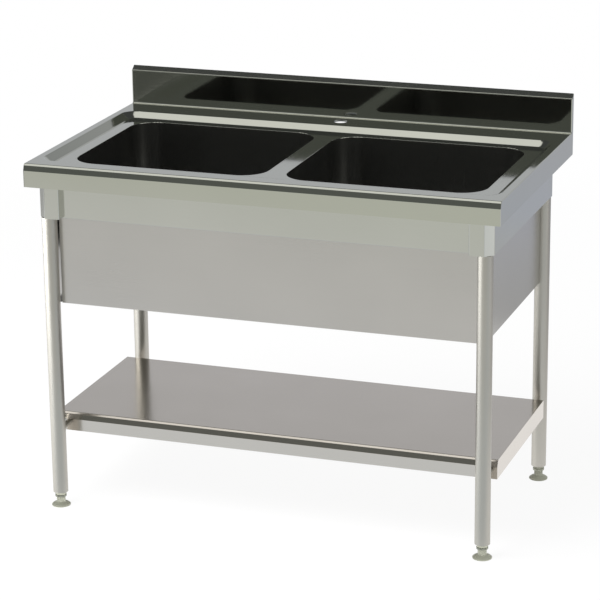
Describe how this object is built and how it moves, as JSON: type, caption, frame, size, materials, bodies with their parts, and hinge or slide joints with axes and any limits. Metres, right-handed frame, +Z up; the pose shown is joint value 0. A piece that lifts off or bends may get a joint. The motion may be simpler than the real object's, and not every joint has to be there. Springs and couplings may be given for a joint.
{
  "type": "commercial double bowl sink",
  "caption": "Free-standing stainless catering sink with twin bowls, splashback, tap hole, clad sides, undershelf and tube legs on screw feet.",
  "frame": {"origin": "on the floor under the middle of the top", "axes": "+X to the right along the top, +Y to the rear, +Z up; the front faces -Y"},
  "size_m": [1.2, 0.7, 1],
  "materials": {
    "top_steel": "satin polished stainless sheet",
    "bowl_steel": "drawn and polished stainless sheet",
    "frame_steel": "satin stainless sheet",
    "panel_steel": "brushed stainless sheet",
    "shelf_steel": "brushed stainless sheet",
    "leg_steel": "satin stainless tube",
    "foot_plastic": "moulded grey green nylon",
    "stem_steel": "turned stainless steel",
    "gasket_rubber": "moulded rubber",
    "waste_chrome": "chromed brass",
    "waste_plastic": "moulded polypropylene",
    "stiffener_steel": "galvanised sheet",
    "fastener_steel": "zinc plated steel"
  },
  "bodies": {
    "sink": {"centre_stiffener": "stiffener_steel", "front_left_bracket": "frame_steel", "front_left_leg": "leg_steel", "front_left_leg_insert": "foot_plastic", "front_left_leg_plug": "foot_plastic", "front_panel": "panel_steel", "front_rail": "frame_steel", "front_right_bracket": "frame_steel", "front_right_leg": "leg_steel", "front_right_leg_insert": "foot_plastic", "front_right_leg_plug": "foot_plastic", "left_bowl": "bowl_steel", "left_panel": "panel_steel", "left_rail": "frame_steel", "left_waste_flange": "waste_chrome", "left_waste_gasket": "gasket_rubber", "left_waste_nut": "waste_plastic", "leg_bolts": "fastener_steel", "panel_screws": "fastener_steel", "rail_screws": "fastener_steel", "rear_left_bracket": "frame_steel", "rear_left_leg": "leg_steel", "rear_left_leg_insert": "foot_plastic", "rear_left_leg_plug": "foot_plastic", "rear_rail": "frame_steel", "rear_right_bracket": "frame_steel", "rear_right_leg": "leg_steel", "rear_right_leg_insert": "foot_plastic", "rear_right_leg_plug": "foot_plastic", "right_bowl": "bowl_steel", "right_panel": "panel_steel", "right_rail": "frame_steel", "right_waste_flange": "waste_chrome", "right_waste_gasket": "gasket_rubber", "right_waste_nut": "waste_plastic", "shelf_bolts": "fastener_steel", "shelf_rivet_nuts": "fastener_steel", "shelf_spacers": "leg_steel", "shelf_stiffener": "stiffener_steel", "sink_top": "top_steel", "tap_plate": "stiffener_steel", "undershelf": "shelf_steel"},
    "front_left_pad": {"front_left_foot_pad": "foot_plastic"},
    "front_left_stem": {"front_left_foot_stem": "stem_steel"},
    "front_right_pad": {"front_right_foot_pad": "foot_plastic"},
    "front_right_stem": {"front_right_foot_stem": "stem_steel"},
    "rear_left_pad": {"rear_left_foot_pad": "foot_plastic"},
    "rear_left_stem": {"rear_left_foot_stem": "stem_steel"},
    "rear_right_pad": {"rear_right_foot_pad": "foot_plastic"},
    "rear_right_stem": {"rear_right_foot_stem": "stem_steel"}
  },
  "joints": [
    {"name": "front_left_pad_slide", "type": "slide", "parent": "sink", "child": "front_left_pad", "axis": [0, 0, -1], "range_m": [0, 0.025]},
    {"name": "front_left_stem_turn", "type": "hinge", "parent": "front_left_pad", "child": "front_left_stem", "pos_m": [-0.554, -0.308, 0.03], "axis": [0, 0, -1], "range_deg": [0, 5143]},
    {"name": "front_right_pad_slide", "type": "slide", "parent": "sink", "child": "front_right_pad", "axis": [0, 0, -1], "range_m": [0, 0.025]},
    {"name": "front_right_stem_turn", "type": "hinge", "parent": "front_right_pad", "child": "front_right_stem", "pos_m": [0.554, -0.308, 0.03], "axis": [0, 0, -1], "range_deg": [0, 5143]},
    {"name": "rear_left_pad_slide", "type": "slide", "parent": "sink", "child": "rear_left_pad", "axis": [0, 0, -1], "range_m": [0, 0.025]},
    {"name": "rear_left_stem_turn", "type": "hinge", "parent": "rear_left_pad", "child": "rear_left_stem", "pos_m": [-0.554, 0.238, 0.03], "axis": [0, 0, -1], "range_deg": [0, 5143]},
    {"name": "rear_right_pad_slide", "type": "slide", "parent": "sink", "child": "rear_right_pad", "axis": [0, 0, -1], "range_m": [0, 0.025]},
    {"name": "rear_right_stem_turn", "type": "hinge", "parent": "rear_right_pad", "child": "rear_right_stem", "pos_m": [0.554, 0.238, 0.03], "axis": [0, 0, -1], "range_deg": [0, 5143]}
  ],
  "couplings": [
    {"joint": "front_left_stem_turn", "follows": "front_left_pad_slide", "rad_per_m": 3590.4},
    {"joint": "front_right_stem_turn", "follows": "front_right_pad_slide", "rad_per_m": 3590.4},
    {"joint": "rear_left_stem_turn", "follows": "rear_left_pad_slide", "rad_per_m": 3590.4},
    {"joint": "rear_right_stem_turn", "follows": "rear_right_pad_slide", "rad_per_m": 3590.4}
  ]
}
